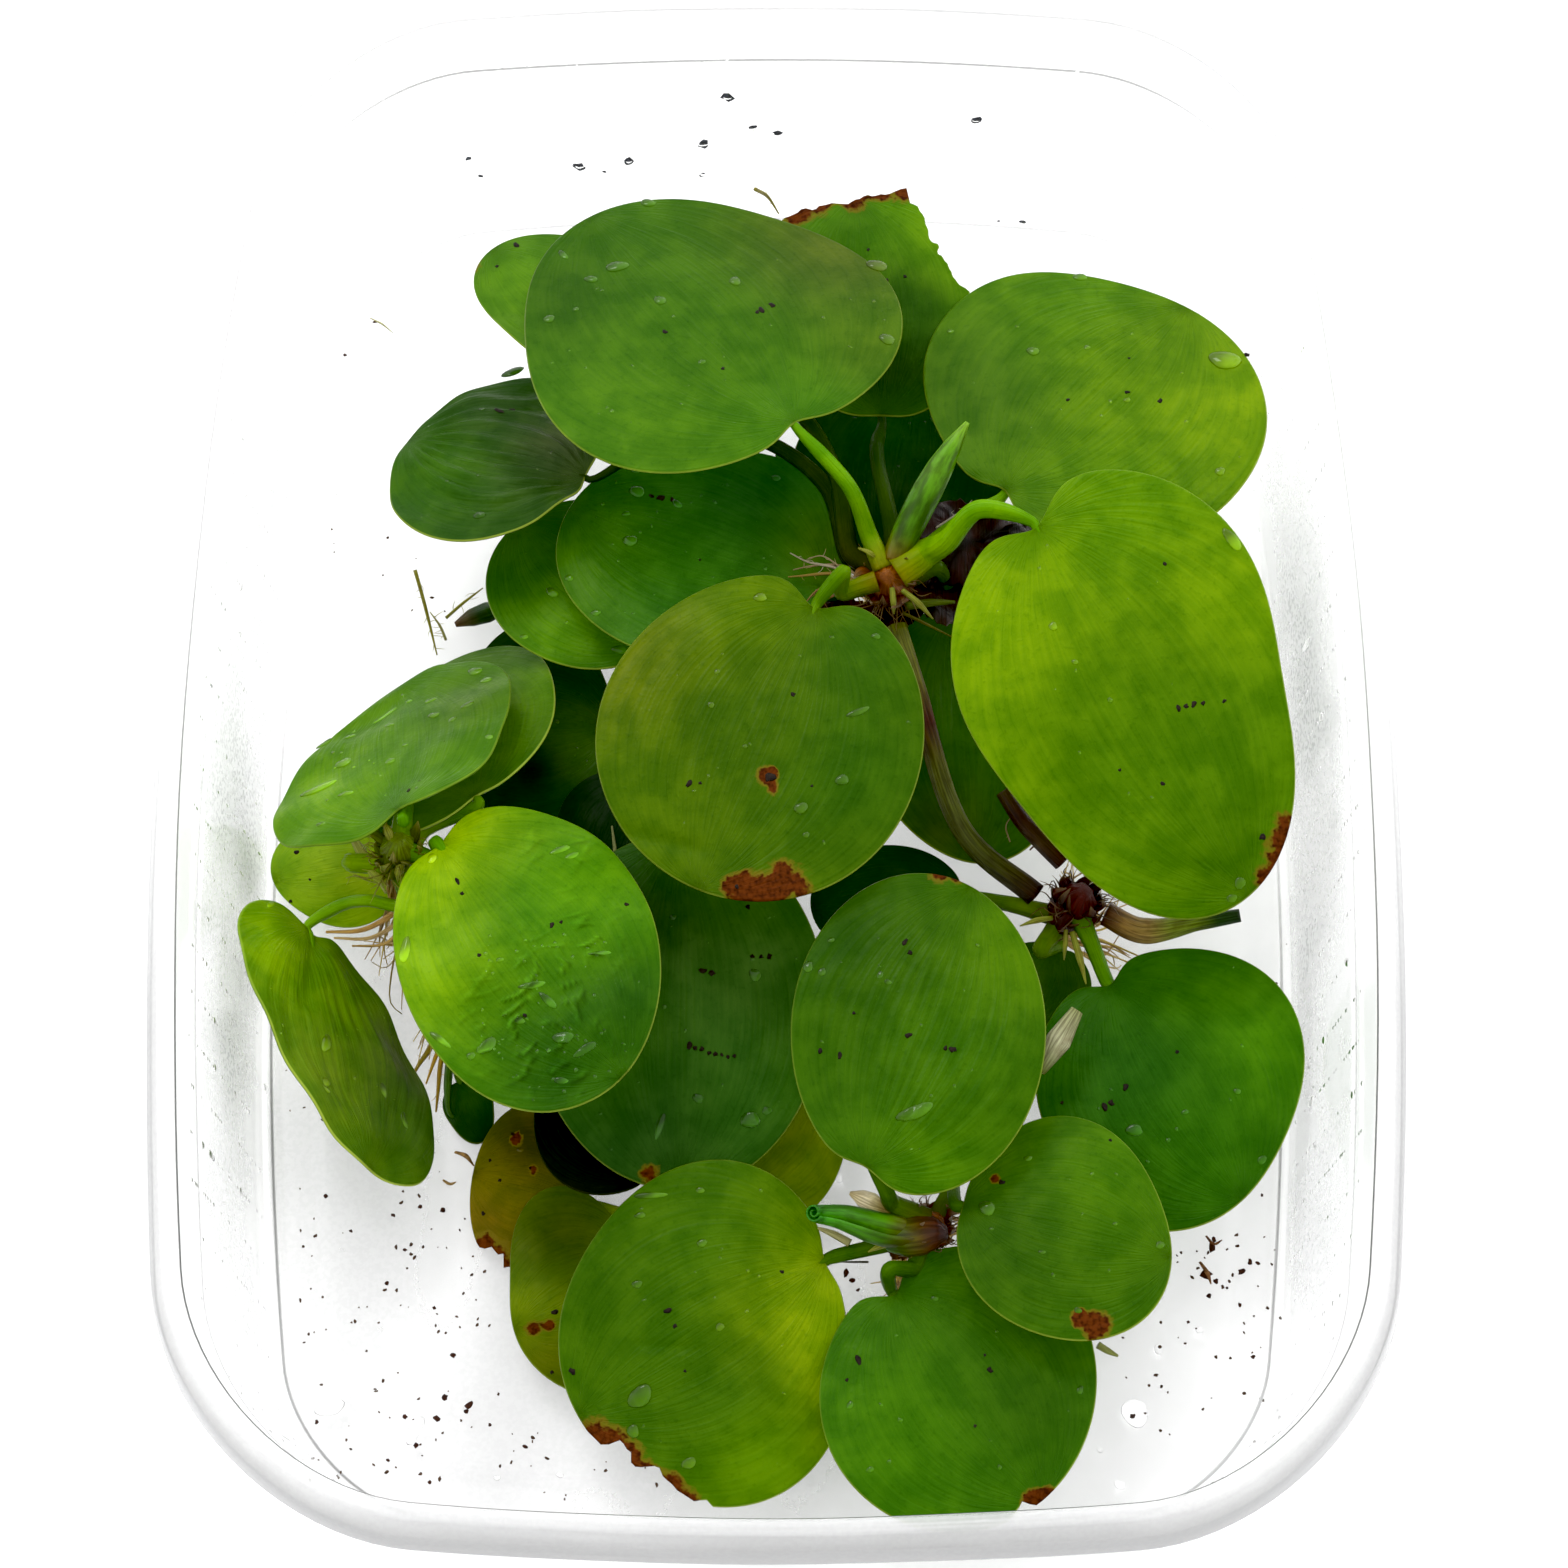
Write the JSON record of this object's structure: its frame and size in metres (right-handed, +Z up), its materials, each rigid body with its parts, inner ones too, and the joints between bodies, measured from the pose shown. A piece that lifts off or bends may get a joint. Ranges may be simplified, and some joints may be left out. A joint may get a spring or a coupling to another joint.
{
  "type": "tub of floating water plants",
  "caption": "Rosettes of round floating water-plant leaves with short brown stems and fine roots, piled wet in a clear rectangular plastic tub with a rolled rim.",
  "frame": {"origin": "middle of the tub's footprint, on the surface that the tub stands on", "axes": "+Z up, +Y towards the back of the tub as pictured (its long direction), +X to the right"},
  "size_m": [0.1274, 0.173, 0.0399],
  "materials": {
    "tub_plastic": "clear, slightly milky moulded plastic",
    "leaf_green": "waxy wet leaf skin with fine curved veins",
    "leaf_dark": "dark waxy leaf skin",
    "leaf_brown": "wilting olive-brown leaf skin",
    "stem_brown": "fibrous wet stem",
    "shoot_green": "smooth wet young shoot",
    "sheath_pale": "thin papery sheath",
    "root_tan": "fine wet roots"
  },
  "bodies": {
    "root": {"tub": "tub_plastic", "leaf_back_left": "leaf_green", "leaf_back_right": "leaf_green", "leaf_right_large": "leaf_green", "leaf_middle": "leaf_green", "leaf_back_torn": "leaf_green", "leaf_back_shaded": "leaf_dark", "leaf_teal": "leaf_dark", "leaf_under_large": "leaf_dark", "leaf_back_brown_tip": "leaf_green", "leaf_ridged": "leaf_green", "leaf_left_wet": "leaf_green", "leaf_left_behind": "leaf_green", "leaf_left_bright": "leaf_green", "leaf_left_steep": "leaf_green", "leaf_left_pale": "leaf_green", "leaf_left_young": "leaf_dark", "leaf_front_ribbed": "leaf_green", "leaf_front_small": "leaf_green", "leaf_front_right": "leaf_green", "leaf_front_left": "leaf_green", "leaf_right_front": "leaf_green", "leaf_right_dark": "leaf_dark", "leaf_centre_dark": "leaf_dark", "leaf_crescent": "leaf_green", "leaf_deep_shade": "leaf_dark", "leaf_dark_large": "leaf_dark", "leaf_dark_gap": "leaf_dark", "leaf_brown": "leaf_brown", "leaf_olive_left": "leaf_brown", "leaf_black_green": "leaf_dark", "leaf_olive_right": "leaf_brown", "crown_back": "stem_brown", "crown_left": "stem_brown", "crown_front": "stem_brown", "crown_right": "stem_brown", "crown_middle": "stem_brown", "crown_under": "stem_brown", "bud_sheath": "shoot_green", "rolled_leaf": "shoot_green", "small_bud": "shoot_green", "sheath_front": "sheath_pale", "sheath_left": "sheath_pale", "sheath_right": "sheath_pale", "pale_bract": "sheath_pale", "runner_back_right": "stem_brown", "old_stalk_right": "stem_brown", "roots_back": "root_tan", "roots_left": "root_tan", "roots_front": "root_tan", "roots_right": "root_tan", "roots_middle": "root_tan"}
  },
  "joints": []
}
